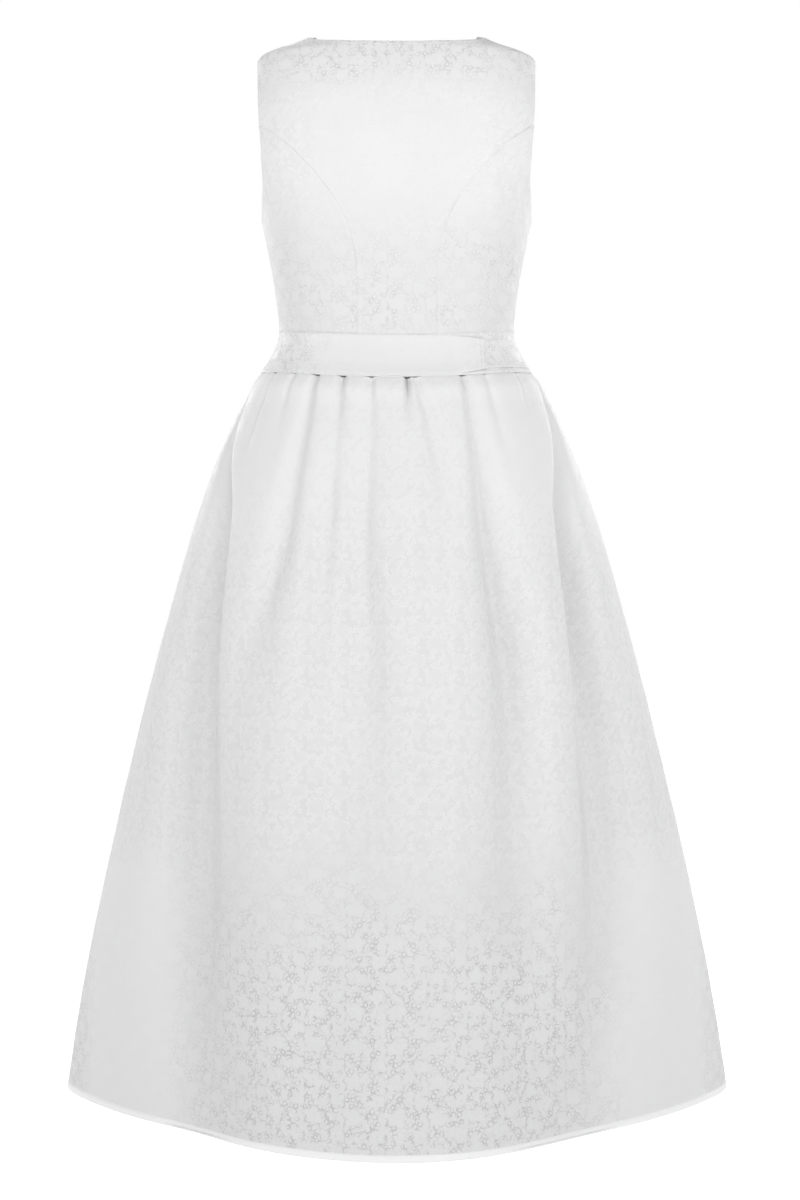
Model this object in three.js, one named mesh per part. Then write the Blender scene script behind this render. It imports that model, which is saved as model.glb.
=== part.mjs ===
// A sleeveless maternity dirndl, worn but with nobody in it, at its real size.
// Millimetres, +Z up. The wearer faces -Y and the wearer's left is +X.
// The origin is where the shoulders hold it: midway between the middles of the two shoulder seams.
import * as THREE from "three";

// Cloth and seams
const PANEL_WALL = 1.5;
const BAND_WALL = 2.0;
const BELT_WALL = 1.5;
const BINDING_WALL = 2.8;
const BINDING_LIFT = 0.6;
const SEAM_GAP = 0.3;
const BELT_GAP = 0.5;

// Levels of the seams, each at its height at the side of the body
const NECK_POINT = 15;
const SHOULDER_TIP = -14.4;
const UNDERARM = -206;
const WAIST_SEAM = -341;
const BAND_BOTTOM = -389;
const HEM = -1243;
const BINDING_HEIGHT = 8;

// How far the hem lifts between the side seams and the middles, and the level where the lift starts
const HEM_LIFT = 5;
const HEM_LIFT_FROM = -900;

// Necklines
const BACK_NECK_DROP = 23;
const BACK_NECK_POWER = 1.2;
const FRONT_NECK_DROP = 150;
const FRONT_NECK_ROUNDNESS = 2.6;

// Bust shaping, sewn into the front side seams
const BUST = { across: 80, level: -226, depth: 12, width: 44, height: 52 };

// The body of the dress, a row for each level. Rises lift the centre back and the centre front from that level,
// so the waist climbs over the front, and lens draws an oval towards two shallow arcs that meet at the side seams.
const SECTIONS = [
  { level: 15, halfWidth: 96, back: 52, front: 48, riseBack: 0, riseFront: 0, lens: 0 },
  { level: 4, halfWidth: 122, back: 61, front: 57, riseBack: 0, riseFront: 0, lens: 0 },
  { level: -14.4, halfWidth: 166, back: 73, front: 70, riseBack: 0, riseFront: 0, lens: 0 },
  { level: -54, halfWidth: 175, back: 88, front: 88, riseBack: 0, riseFront: 0, lens: 0 },
  { level: -94, halfWidth: 183, back: 97, front: 102, riseBack: 0, riseFront: 0, lens: 0 },
  { level: -131, halfWidth: 183, back: 102, front: 114, riseBack: 0, riseFront: 0, lens: 0 },
  { level: -166, halfWidth: 173, back: 104, front: 124, riseBack: 0, riseFront: 0, lens: 0 },
  { level: -206, halfWidth: 161, back: 104, front: 132, riseBack: 0, riseFront: 0, lens: 0 },
  { level: -240, halfWidth: 154, back: 102, front: 132, riseBack: -2, riseFront: 6, lens: 0 },
  { level: -290, halfWidth: 145, back: 98.5, front: 121, riseBack: -7, riseFront: 24, lens: 0 },
  { level: -341, halfWidth: 139.5, back: 97, front: 112, riseBack: -13, riseFront: 41, lens: 0 },
  { level: -370, halfWidth: 149.5, back: 103, front: 116, riseBack: -14, riseFront: 40, lens: 0 },
  { level: -389, halfWidth: 162, back: 112, front: 126, riseBack: -15, riseFront: 39, lens: 0.05 },
  { level: -444, halfWidth: 193, back: 135, front: 166, riseBack: -13, riseFront: 33, lens: 0.15 },
  { level: -516, halfWidth: 223, back: 161, front: 200, riseBack: -11, riseFront: 26, lens: 0.25 },
  { level: -612, halfWidth: 254, back: 188, front: 232, riseBack: -8, riseFront: 18, lens: 0.35 },
  { level: -720, halfWidth: 284, back: 215, front: 257, riseBack: -5, riseFront: 11, lens: 0.42 },
  { level: -840, halfWidth: 314.5, back: 243, front: 279, riseBack: -3, riseFront: 6, lens: 0.48 },
  { level: -960, halfWidth: 342, back: 271, front: 300, riseBack: -1, riseFront: 3, lens: 0.54 },
  { level: -1080, halfWidth: 368, back: 297, front: 319, riseBack: 0, riseFront: 0, lens: 0.62 },
  { level: -1243, halfWidth: 395, back: 335, front: 346, riseBack: 0, riseFront: 0, lens: 0.7 },
];

// The armhole's edge and the two curved seams, each as its distance from the middle at a level
const ARMHOLE = [
  { level: -206, across: 161 },
  { level: -190, across: 159.5 },
  { level: -166, across: 158 },
  { level: -131, across: 159.5 },
  { level: -94, across: 162.5 },
  { level: -54, across: 164.5 },
  { level: -14.4, across: 166 },
];
const BACK_SEAM = [
  { level: -341, across: 46 },
  { level: -275, across: 46.5 },
  { level: -237, across: 53 },
  { level: -204, across: 67 },
  { level: -175, across: 87 },
  { level: -151, across: 107 },
  { level: -125, across: 133 },
  { level: -102, across: 161.9 },
];
const FRONT_SEAM = [
  { level: -341, across: 60 },
  { level: -300, across: 66 },
  { level: -262, across: 74 },
  { level: -226, across: 83 },
  { level: -195, across: 96 },
  { level: -166, across: 114 },
  { level: -140, across: 137 },
  { level: -116, across: 160.7 },
];

// Where the skirt's folds are measured, and each valley's turn round the skirt, depth and half width there.
// Turns are degrees from the wearer's left side seam by way of the back to the right one, and on round the front.
const FOLD_LEVELS = [-395, -540, -720, -960, -1243];
const FOLDS = [
  { turn: [5, 7, 9, 12, 14], depth: [3, 3, 2, 0, 0], width: [10, 14, 22, 40, 50] },
  { turn: [19, 31, 40, 53, 60], depth: [5, 12, 19, 18, 9], width: [11, 22, 38, 58, 75] },
  { turn: [38, 45, 50, 60, 66], depth: [5, 3, 0, 0, 0], width: [11, 16, 24, 40, 50] },
  { turn: [56, 60, 63, 68, 72], depth: [8, 9, 3, 0, 0], width: [10, 15, 26, 40, 50] },
  { turn: [72, 71.5, 73, 75, 76], depth: [7, 6, 6, 2, 0], width: [9, 13, 22, 40, 50] },
  { turn: [83, 84, 84.5, 87, 88], depth: [7, 8, 10, 6, 2], width: [8, 11, 18, 34, 50] },
  { turn: [94, 94, 94, 96, 98], depth: [8, 2, 2, 0, 0], width: [8, 13, 20, 40, 50] },
  { turn: [106, 103, 102, 101, 100], depth: [5, 5, 1, 0, 0], width: [10, 16, 24, 40, 50] },
  { turn: [118, 112.5, 114, 112, 110], depth: [8, 10, 13, 7, 3], width: [10, 15, 27, 50, 60] },
  { turn: [132, 128, 126, 124, 122], depth: [5, 3, 0, 0, 0], width: [11, 16, 24, 40, 50] },
  { turn: [148, 142, 136, 128, 124], depth: [5, 2, 0, 0, 0], width: [11, 16, 24, 40, 50] },
  { turn: [164, 149, 139.5, 125, 120], depth: [5, 13, 19, 17, 8], width: [11, 22, 36, 58, 75] },
  { turn: [175, 173, 171, 168, 166], depth: [3, 3, 2, 0, 0], width: [10, 14, 22, 40, 50] },
  { turn: [192, 204, 214, 226, 233], depth: [5, 11, 17, 16, 8], width: [11, 22, 36, 58, 72] },
  { turn: [208, 213, 219, 226, 230], depth: [5, 3, 0, 0, 0], width: [11, 16, 24, 40, 50] },
  { turn: [224, 231, 236, 243, 247], depth: [7, 8, 5, 0, 0], width: [10, 16, 26, 42, 50] },
  { turn: [239, 245, 250, 253, 255], depth: [6, 8, 11, 9, 3], width: [10, 15, 28, 46, 60] },
  { turn: [252, 254, 257, 259, 260], depth: [7, 4, 1, 0, 0], width: [9, 14, 22, 40, 50] },
  { turn: [264, 265, 266, 267, 268], depth: [7, 7, 8, 4, 1], width: [9, 13, 22, 40, 50] },
  { turn: [277, 276, 276, 275, 275], depth: [7, 4, 1, 0, 0], width: [9, 14, 22, 40, 50] },
  { turn: [290, 288, 286, 285, 284], depth: [7, 8, 10, 8, 3], width: [10, 15, 27, 46, 60] },
  { turn: [304, 299, 296, 293, 291], depth: [6, 5, 2, 0, 0], width: [10, 15, 24, 40, 50] },
  { turn: [320, 313, 307, 302, 300], depth: [6, 6, 4, 1, 0], width: [11, 17, 28, 44, 50] },
  { turn: [344, 331, 322, 311, 306], depth: [5, 12, 18, 17, 8], width: [11, 22, 37, 58, 74] },
];

// The back belt lies on the band: where it runs round the body, and its edges as shares of the band's height
const LONG_BELT = { from: 4.5, to: 135 };
const SHORT_BELT = { from: 126, to: 175.5 };
const LONG_BELT_EDGES = [
  { turn: 4.5, low: 0.07, high: 0.9 },
  { turn: 40, low: 0.04, high: 0.97 },
  { turn: 90, low: 0.02, high: 1.0 },
  { turn: 115, low: 0.03, high: 0.95 },
  { turn: 135, low: 0.14, high: 0.82 },
];
const SHORT_BELT_EDGES = [
  { turn: 126, low: 0.16, high: 0.8 },
  { turn: 175.5, low: 0.12, high: 0.78 },
];
const OVERLAP_STARTS = 116;
const OVERLAP_FULL = 121.5;

// How finely each stretch is drawn
const SEAM_STEPS = 9;
const ARMHOLE_STEPS = 5;
const FRONT_MIDDLE_STEPS = 5;
const BACK_NECK_STEPS = 5;
const SHOULDER_STEPS = 6;
const SIDE_STEPS = 8;
const ARMHOLE_ROUNDING = 1.8;
const BAND_STEP = 4.5;
const BAND_ROWS = 4;
const SKIRT_STEPS = 58;
const SKIRT_ROWS = 14;

const CLOTH_COLOUR = 0xeeeeef;
const RADIANS = Math.PI / 180;

// A smooth value between the rows of a table, with no overshoot, by the column that it is looked up with.
function lookUp(rows, key, column, at) {
  const sign = rows[0][key] < rows[rows.length - 1][key] ? 1 : -1;
  const place = (row) => sign * row[key];
  const x = sign * at;
  const last = rows.length - 1;
  if (x <= place(rows[0])) return rows[0][column];
  if (x >= place(rows[last])) return rows[last][column];
  let i = 0;
  while (x > place(rows[i + 1])) i += 1;
  const slope = (k) => (rows[k + 1][column] - rows[k][column]) / (place(rows[k + 1]) - place(rows[k]));
  const tangent = (k) => {
    if (k === 0 || k === last) return slope(Math.min(k, last - 1));
    const before = slope(k - 1);
    const after = slope(k);
    return before * after <= 0 ? 0 : (2 * before * after) / (before + after);
  };
  const step = place(rows[i + 1]) - place(rows[i]);
  const s = (x - place(rows[i])) / step;
  return (
    rows[i][column] * (2 * s ** 3 - 3 * s ** 2 + 1) +
    tangent(i) * step * (s ** 3 - 2 * s ** 2 + s) +
    rows[i + 1][column] * (3 * s ** 2 - 2 * s ** 3) +
    tangent(i + 1) * step * (s ** 3 - s ** 2)
  );
}

const sectionAt = (column, level) => lookUp(SECTIONS, "level", column, level);
const mix = (a, b, share) => a + (b - a) * share;
const smooth = (share) => {
  const s = Math.min(1, Math.max(0, share));
  return s * s * (3 - 2 * s);
};

// How deep the skirt's folds are at a place, in millimetres inwards.
function foldDepth(turn, level) {
  if (level > BAND_BOTTOM) return 0;
  const radius = sectionAt("halfWidth", level);
  const start = smooth((BAND_BOTTOM - level) / 12);
  return FOLDS.reduce((depth, fold) => {
    const rows = FOLD_LEVELS.map((at, i) => ({ at, turn: fold.turn[i], depth: fold.depth[i], width: fold.width[i] }));
    const centre = lookUp(rows, "at", "turn", level);
    const away = ((((turn - centre + 180) % 360) + 360) % 360) - 180;
    const across = (away * RADIANS * radius) / lookUp(rows, "at", "width", level);
    return depth + start * lookUp(rows, "at", "depth", level) * Math.exp(-across * across);
  }, 0);
}

// The dress's plain outer surface: turn goes round in degrees from the wearer's left side by way of the back.
function bodyPoint(turn, level) {
  const c = Math.cos(turn * RADIANS);
  const s = Math.sin(turn * RADIANS);
  const back = s >= 0;
  const lens = sectionAt("lens", level);
  const squareness = 0.16 * smooth((level - BAND_BOTTOM) / 120);
  const reach = Math.abs(s) * (1 + squareness * c * c) * (1 - lens + lens * Math.abs(s));
  const x = sectionAt("halfWidth", level) * c;
  const depth = sectionAt(back ? "back" : "front", level) * reach;
  const hemLift = HEM_LIFT * smooth((HEM_LIFT_FROM - level) / (HEM_LIFT_FROM - HEM)) * 4 * s * s * c * c;
  const rise = sectionAt(back ? "riseBack" : "riseFront", level) * s * s + hemLift;
  const bust = back
    ? 0
    : BUST.depth *
      Math.exp(-(((Math.abs(x) - BUST.across) / BUST.width) ** 2) - ((level - BUST.level) / BUST.height) ** 2) *
      Math.abs(s);
  return new THREE.Vector3(x, back ? depth : -depth - bust, level + rise);
}

// The same surface's outward direction, from its slopes both ways.
function bodyNormal(turn, level) {
  const low = Math.min(level - 0.8, NECK_POINT - 1.6);
  const across = bodyPoint(turn + 0.4, level).sub(bodyPoint(turn - 0.4, level));
  const up = bodyPoint(turn, low + 1.6).sub(bodyPoint(turn, low));
  return across.cross(up).normalize();
}

// A place on the dress, moved out by a distance, with the skirt's folds in it.
function clothPoint(turn, level, out = 0) {
  const normal = bodyNormal(turn, level);
  return bodyPoint(turn, level).addScaledVector(normal, out - foldDepth(turn, level));
}

// The turn at which a level's section is that far from the middle, on the wearer's left back.
const turnAt = (across, level) => Math.acos(Math.min(1, across / sectionAt("halfWidth", level))) / RADIANS;

// A closed wall of cloth between two like grids. Rows run bottom to top, each the way that turn grows.
function wallGeometry(outer, inner) {
  const rows = outer.length;
  const columns = outer[0].length;
  const positions = [...outer, ...inner].flat().flatMap((p) => [p.x, p.y, p.z]);
  const out = (i, j) => i * columns + j;
  const within = (i, j) => (rows + i) * columns + j;
  const faces = [];
  const quad = (a, b, c, d) => faces.push(a, b, c, a, c, d);
  for (let i = 0; i < rows - 1; i += 1) {
    for (let j = 0; j < columns - 1; j += 1) {
      quad(out(i, j), out(i, j + 1), out(i + 1, j + 1), out(i + 1, j));
      quad(within(i, j), within(i + 1, j), within(i + 1, j + 1), within(i, j + 1));
    }
    quad(out(i, 0), out(i + 1, 0), within(i + 1, 0), within(i, 0));
    quad(out(i, columns - 1), within(i, columns - 1), within(i + 1, columns - 1), out(i + 1, columns - 1));
  }
  for (let j = 0; j < columns - 1; j += 1) {
    quad(out(0, j), within(0, j), within(0, j + 1), out(0, j + 1));
    quad(out(rows - 1, j), out(rows - 1, j + 1), within(rows - 1, j + 1), within(rows - 1, j));
  }
  const geometry = new THREE.BufferGeometry();
  geometry.setAttribute("position", new THREE.Float32BufferAttribute(positions, 3));
  geometry.setIndex(faces);
  return geometry;
}

// Draws a grid's edges in by half a seam gap.
function trimmed(grid) {
  const half = SEAM_GAP / 2;
  const rows = grid.length;
  const columns = grid[0].length;
  const toward = (from, to) => to.clone().sub(from).normalize().multiplyScalar(half);
  return grid.map((row, i) =>
    row.map((point, j) => {
      const moved = point.clone();
      if (i === 0) moved.add(toward(point, grid[1][j]));
      if (i === rows - 1) moved.add(toward(point, grid[rows - 2][j]));
      if (j === 0) moved.add(toward(point, row[1]));
      if (j === columns - 1) moved.add(toward(point, row[columns - 2]));
      return moved;
    }),
  );
}

// A panel from its places, each a turn and a level, with its outer face moved out by lift(turn).
function panel(places, thickness, lift = () => 0) {
  const face = (sunk) => places.map((row) => row.map(([turn, level]) => clothPoint(turn, level, lift(turn) - sunk)));
  return wallGeometry(trimmed(face(0)), trimmed(face(thickness)));
}

const reversed = (places) => places.map((row) => [...row].reverse());
const mirrored = (places) => reversed(places.map((row) => row.map(([turn, level]) => [180 - turn, level])));

// Fills a four-sided patch from its edges. Each edge gives a pair of numbers for a share from 0 to 1.
function patch({ bottom, top, first, last, columns, rows, rowShare = (v) => v }) {
  return Array.from({ length: rows + 1 }, (_, i) => {
    const v = rowShare(i / rows);
    return Array.from({ length: columns + 1 }, (_, j) => {
      const u = j / columns;
      return [0, 1].map(
        (k) =>
          mix(bottom(u)[k], top(u)[k], v) +
          mix(first(v)[k], last(v)[k], u) -
          mix(mix(bottom(0)[k], bottom(1)[k], u), mix(top(0)[k], top(1)[k], u), v),
      );
    });
  });
}

const onBack = ([across, level]) => [turnAt(across, level), level];
const onFront = ([across, level]) => [-turnAt(across, level), level];

// The curved seam from the waist, then the armhole up to the shoulder tip, as distance from the middle and level.
function outerEdge(seam, share) {
  const joins = seam[seam.length - 1].level;
  const seamShare = SEAM_STEPS / (SEAM_STEPS + ARMHOLE_STEPS);
  if (share > seamShare) {
    const left = (1 - share) / (1 - seamShare);
    const level = mix(SHOULDER_TIP, joins, left ** ARMHOLE_ROUNDING);
    return [lookUp(ARMHOLE, "level", "across", level), level];
  }
  const level = mix(WAIST_SEAM, joins, share / seamShare);
  return [lookUp(seam, "level", "across", level), level];
}

// The shoulder seam, from the neck to the tip.
function shoulderSeam(share) {
  const level = mix(NECK_POINT, SHOULDER_TIP, share);
  return [sectionAt("halfWidth", level), level];
}

// The back neckline, from the middle to the neck point.
function backNeckline(share) {
  const turn = 90 * (1 - share);
  const level = NECK_POINT - BACK_NECK_DROP * Math.sin(turn * RADIANS) ** BACK_NECK_POWER;
  return [sectionAt("halfWidth", level) * Math.cos(turn * RADIANS), level];
}

// The front neckline, a deep round scoop from the middle to the neck point.
function frontNeckline(share) {
  const angle = (share * Math.PI) / 2;
  const power = 2 / FRONT_NECK_ROUNDNESS;
  return [
    sectionAt("halfWidth", NECK_POINT) * Math.sin(angle) ** power,
    NECK_POINT - FRONT_NECK_DROP * Math.cos(angle) ** power,
  ];
}

function backCentre() {
  const neckShare = BACK_NECK_STEPS / (BACK_NECK_STEPS + SHOULDER_STEPS);
  const half = patch({
    columns: BACK_NECK_STEPS + SHOULDER_STEPS,
    rows: SEAM_STEPS + ARMHOLE_STEPS,
    bottom: (u) => [u * BACK_SEAM[0].across, WAIST_SEAM],
    top: (u) => (u <= neckShare ? backNeckline(u / neckShare) : shoulderSeam((u - neckShare) / (1 - neckShare))),
    first: (v) => [0, mix(WAIST_SEAM, NECK_POINT - BACK_NECK_DROP, v)],
    last: (v) => outerEdge(BACK_SEAM, v),
  }).map((row) => row.map(onBack));
  const left = reversed(half);
  const right = mirrored(left);
  return left.map((row, i) => [...row, ...right[i].slice(1)]);
}

// The panel between the curved seam and the side seam. side is 1 for the back and -1 for the front.
function sidePanel(seam, side) {
  const joins = seam[seam.length - 1].level;
  const places = patch({
    columns: SIDE_STEPS,
    rows: SEAM_STEPS,
    bottom: (u) => [u * turnAt(seam[0].across, WAIST_SEAM), WAIST_SEAM],
    top: (u) => {
      const level = mix(UNDERARM, joins, u ** 1.5);
      return [turnAt(lookUp(ARMHOLE, "level", "across", level), level) * smooth(u * SIDE_STEPS), level];
    },
    first: (v) => [0, mix(WAIST_SEAM, UNDERARM, v)],
    last: (v) => {
      const level = mix(WAIST_SEAM, joins, v);
      return [turnAt(lookUp(seam, "level", "across", level), level), level];
    },
  }).map((row) => row.map(([turn, level]) => [side * turn, level]));
  return side > 0 ? places : reversed(places);
}

function frontCentre() {
  const scoopStarts = FRONT_MIDDLE_STEPS / (SEAM_STEPS + ARMHOLE_STEPS);
  const centre = (v) => [0, mix(WAIST_SEAM, NECK_POINT - FRONT_NECK_DROP, v / scoopStarts)];
  return patch({
    columns: SHOULDER_STEPS,
    rows: SEAM_STEPS + ARMHOLE_STEPS,
    bottom: (u) => [u * FRONT_SEAM[0].across, WAIST_SEAM],
    top: (u) => shoulderSeam(u),
    first: (v) => (v <= scoopStarts ? centre(v) : frontNeckline((v - scoopStarts) / (1 - scoopStarts))),
    last: (v) => outerEdge(FRONT_SEAM, v),
  }).map((row) => row.map(onFront));
}

// A stretch of the body between two levels and two turns.
function ring({ from, to, low, high, columns, rows, rowShare = (v) => v }) {
  return Array.from({ length: rows + 1 }, (_, i) =>
    Array.from({ length: columns + 1 }, (_, j) => [mix(from, to, j / columns), mix(low, high, rowShare(i / rows))]),
  );
}

const band = (from, to) =>
  ring({ from, to, low: BAND_BOTTOM, high: WAIST_SEAM, columns: (to - from) / BAND_STEP, rows: BAND_ROWS });

const skirt = (from, to) =>
  ring({
    from,
    to,
    low: HEM + BINDING_HEIGHT,
    high: BAND_BOTTOM,
    columns: SKIRT_STEPS,
    rows: SKIRT_ROWS,
    rowShare: (v) => 1 - (1 - v) ** 1.35,
  });

const binding = (from, to) =>
  ring({ from, to, low: HEM, high: HEM + BINDING_HEIGHT, columns: SKIRT_STEPS, rows: 1 });

// A strap that lies on the waist band, its edges given as shares of the band's height.
function belt({ from, to }, edges) {
  const places = ring({ from, to, low: 0, high: 1, columns: (to - from) / BAND_STEP, rows: BAND_ROWS });
  return places.map((row) =>
    row.map(([turn, up]) => {
      const share = mix(lookUp(edges, "turn", "low", turn), lookUp(edges, "turn", "high", turn), up);
      return [turn, mix(BAND_BOTTOM, WAIST_SEAM, share)];
    }),
  );
}

const shortBeltLift = BELT_GAP + BELT_WALL;
const longBeltLift = (turn) =>
  shortBeltLift * (1 + smooth((turn - OVERLAP_STARTS) / (OVERLAP_FULL - OVERLAP_STARTS)));

const cloth = new THREE.MeshStandardMaterial({ color: CLOTH_COLOUR, roughness: 0.55, metalness: 0 });
const dirndl = new THREE.Group();

function add(name, places, thickness, lift) {
  const mesh = new THREE.Mesh(panel(places, thickness, lift), cloth.clone());
  mesh.name = name;
  dirndl.add(mesh);
}

add("back_centre", backCentre(), PANEL_WALL);
add("back_side_left", sidePanel(BACK_SEAM, 1), PANEL_WALL);
add("back_side_right", mirrored(sidePanel(BACK_SEAM, 1)), PANEL_WALL);
add("front_centre_left", frontCentre(), PANEL_WALL);
add("front_centre_right", mirrored(frontCentre()), PANEL_WALL);
add("front_side_left", sidePanel(FRONT_SEAM, -1), PANEL_WALL);
add("front_side_right", mirrored(sidePanel(FRONT_SEAM, -1)), PANEL_WALL);
add("band_back", band(0, 180), BAND_WALL);
add("band_front_right", band(180, 270), BAND_WALL);
add("band_front_left", band(270, 360), BAND_WALL);
add("belt_long", belt(LONG_BELT, LONG_BELT_EDGES), BELT_WALL, longBeltLift);
add("belt_short", belt(SHORT_BELT, SHORT_BELT_EDGES), BELT_WALL, () => shortBeltLift);
add("skirt_back", skirt(0, 180), PANEL_WALL);
add("skirt_front", skirt(180, 360), PANEL_WALL);
add("hem_binding_back", binding(0, 180), BINDING_WALL, () => BINDING_LIFT);
add("hem_binding_front", binding(180, 360), BINDING_WALL, () => BINDING_LIFT);

export default dirndl;
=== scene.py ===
import math

import bpy
import numpy as np
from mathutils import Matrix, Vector, noise


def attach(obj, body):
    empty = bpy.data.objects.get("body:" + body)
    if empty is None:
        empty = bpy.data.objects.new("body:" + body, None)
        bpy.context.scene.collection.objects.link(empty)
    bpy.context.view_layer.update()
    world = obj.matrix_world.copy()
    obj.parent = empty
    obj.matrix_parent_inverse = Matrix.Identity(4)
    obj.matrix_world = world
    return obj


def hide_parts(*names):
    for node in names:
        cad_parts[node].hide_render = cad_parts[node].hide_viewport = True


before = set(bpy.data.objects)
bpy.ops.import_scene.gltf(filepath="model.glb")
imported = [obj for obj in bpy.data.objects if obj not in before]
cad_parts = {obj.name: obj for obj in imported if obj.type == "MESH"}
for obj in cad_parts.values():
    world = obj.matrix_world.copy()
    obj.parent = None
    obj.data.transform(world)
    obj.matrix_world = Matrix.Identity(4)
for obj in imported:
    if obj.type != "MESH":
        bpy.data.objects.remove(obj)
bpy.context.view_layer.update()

# The viewpoint. A level camera stands behind the dress at half its height, far enough for a portrait lens,
# and the dress hangs a little left of the picture's middle.
PICTURE_HEIGHT = 1200
PIXEL_AT_SEAMS = 0.0012
CAMERA_AWAY = 2.43
CAMERA_LEVEL = -0.66
CAMERA_ASIDE = -0.0042
FILM_HEIGHT = 36

camera = bpy.data.objects.new("camera", bpy.data.cameras.new("camera"))
bpy.context.scene.collection.objects.link(camera)
camera.data.lens = FILM_HEIGHT * CAMERA_AWAY / (PIXEL_AT_SEAMS * PICTURE_HEIGHT)
camera.location = (CAMERA_ASIDE, CAMERA_AWAY, CAMERA_LEVEL)
camera.rotation_euler = (math.radians(90), 0, math.radians(180))
bpy.context.scene.camera = camera

# The bodice, seven panels of jacquard sewn edge to edge: a centre back, two side backs, two side fronts and
# two centre fronts that meet on a hidden closure. Seam allowances inside pull each seam into a fine groove
# with a soft ridge on both sides, and the neck and armholes are turned in and topstitched.

# Lengths are in millimetres, as on a paper pattern. A turn goes round in degrees from the wearer's left side
# seam by way of the back, a level is a height at the side seams, and rises lift the centre back and front.
MM = 0.001
SECTION_COLUMNS = "level half_width back front rise_back rise_front lens".split()
SECTIONS = [
    (15, 96, 52, 48, 0, 0, 0),
    (4, 122, 61, 57, 0, 0, 0),
    (-14.4, 166, 73, 70, 0, 0, 0),
    (-54, 175, 88, 88, 0, 0, 0),
    (-94, 183, 97, 102, 0, 0, 0),
    (-131, 183, 102, 114, 0, 0, 0),
    (-166, 173, 104, 124, 0, 0, 0),
    (-206, 161, 104, 132, 0, 0, 0),
    (-240, 154, 102, 132, -2, 6, 0),
    (-290, 145, 98.5, 121, -7, 24, 0),
    (-341, 139.5, 97, 112, -13, 41, 0),
    (-370, 149.5, 103, 116, -14, 40, 0),
    (-389, 162, 112, 126, -15, 39, 0.05),
    (-444, 193, 135, 166, -13, 33, 0.15),
    (-516, 223, 161, 200, -11, 26, 0.25),
    (-612, 254, 188, 232, -8, 18, 0.35),
    (-720, 284, 215, 257, -5, 11, 0.42),
    (-840, 314.5, 243, 279, -3, 6, 0.48),
    (-960, 342, 271, 300, -1, 3, 0.54),
    (-1080, 368, 297, 319, 0, 0, 0.62),
    (-1243, 395, 335, 346, 0, 0, 0.7),
]
NECK_POINT = 15
SHOULDER_TIP = -14.4
UNDERARM = -206
WAIST_SEAM = -341
BAND_BOTTOM = -389
HEM = -1243
HEM_LIFT = 5
HEM_LIFT_FROM = -900
BUST = dict(across=80, level=-226, depth=12, width=44, height=52)
SHOULDER_SQUARENESS = 0.16
SQUARENESS_GROWS_OVER = 120


def look_up(places, values, at):
    """A smooth value between the rows of a table, with no overshoot."""
    places, values = np.asarray(places, float), np.asarray(values, float)
    if places[0] > places[-1]:
        places, values = places[::-1], values[::-1]
    steps = np.diff(places)
    slopes = np.diff(values) / steps
    tangents = np.zeros_like(values)
    tangents[0], tangents[-1] = slopes[0], slopes[-1]
    same_way = slopes[:-1] * slopes[1:] > 0
    total = np.where(same_way, slopes[:-1] + slopes[1:], 1)
    tangents[1:-1] = np.where(same_way, 2 * slopes[:-1] * slopes[1:] / total, 0)
    at = np.clip(at, places[0], places[-1])
    i = np.clip(np.searchsorted(places, at, side="right") - 1, 0, len(steps) - 1)
    s = (at - places[i]) / steps[i]
    return (
        values[i] * (2 * s**3 - 3 * s**2 + 1)
        + tangents[i] * steps[i] * (s**3 - 2 * s**2 + s)
        + values[i + 1] * (3 * s**2 - 2 * s**3)
        + tangents[i + 1] * steps[i] * (s**3 - s**2)
    )


def section(column, level):
    rows = np.array(SECTIONS)
    return look_up(rows[:, 0], rows[:, SECTION_COLUMNS.index(column)], level)


def smooth(share):
    share = np.clip(share, 0, 1)
    return share * share * (3 - 2 * share)


def mix(a, b, share):
    return a + (b - a) * share


def body_point(turn, level):
    """The place of the cloth on the body at a turn and a level."""
    c, s = np.cos(np.radians(turn)), np.sin(np.radians(turn))
    behind = s >= 0
    lens = section("lens", level)
    squareness = SHOULDER_SQUARENESS * smooth((level - BAND_BOTTOM) / SQUARENESS_GROWS_OVER)
    reach = np.abs(s) * (1 + squareness * c * c) * (1 - lens + lens * np.abs(s))
    x = section("half_width", level) * c
    hem_lift = HEM_LIFT * smooth((HEM_LIFT_FROM - level) / (HEM_LIFT_FROM - HEM)) * 4 * s * s * c * c
    rise = np.where(behind, section("rise_back", level), section("rise_front", level)) * s * s
    bust = BUST["depth"] * np.abs(s) * np.exp(
        -(((np.abs(x) - BUST["across"]) / BUST["width"]) ** 2)
        - ((level - BUST["level"]) / BUST["height"]) ** 2
    )
    y = np.where(behind, section("back", level) * reach, -section("front", level) * reach - bust)
    return np.stack([x, y, level + rise + hem_lift], -1)


def body_normal(turn, level, step_round=0.4, step_up=1.6):
    """The way straight out of the cloth, from a short step round it and one up it."""
    low = np.minimum(level - step_up / 2, NECK_POINT - step_up)
    across = body_point(turn + step_round, level) - body_point(turn - step_round, level)
    up = body_point(turn, low + step_up) - body_point(turn, low)
    normal = np.cross(across, up)
    return normal / np.linalg.norm(normal, axis=-1, keepdims=True)


def unevenness(points, size, seed):
    """A soft random swell from -1 to 1, of about that size, that is the same on each run."""
    flat = points.reshape(-1, 3) / size + seed
    return np.array([noise.noise(Vector(p)) for p in flat]).reshape(points.shape[:-1])


def swell(relief, points, swells, seed):
    """The relief with soft swells added to it, each given by its height and size."""
    for height, size in swells:
        relief = relief + height * unevenness(points, size, seed)
    return relief


def grid_normals(points):
    across = np.gradient(points, axis=1)
    up = np.gradient(points, axis=0)
    normal = np.cross(across, up)
    return normal / np.maximum(np.linalg.norm(normal, axis=-1, keepdims=True), 1e-9)


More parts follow.
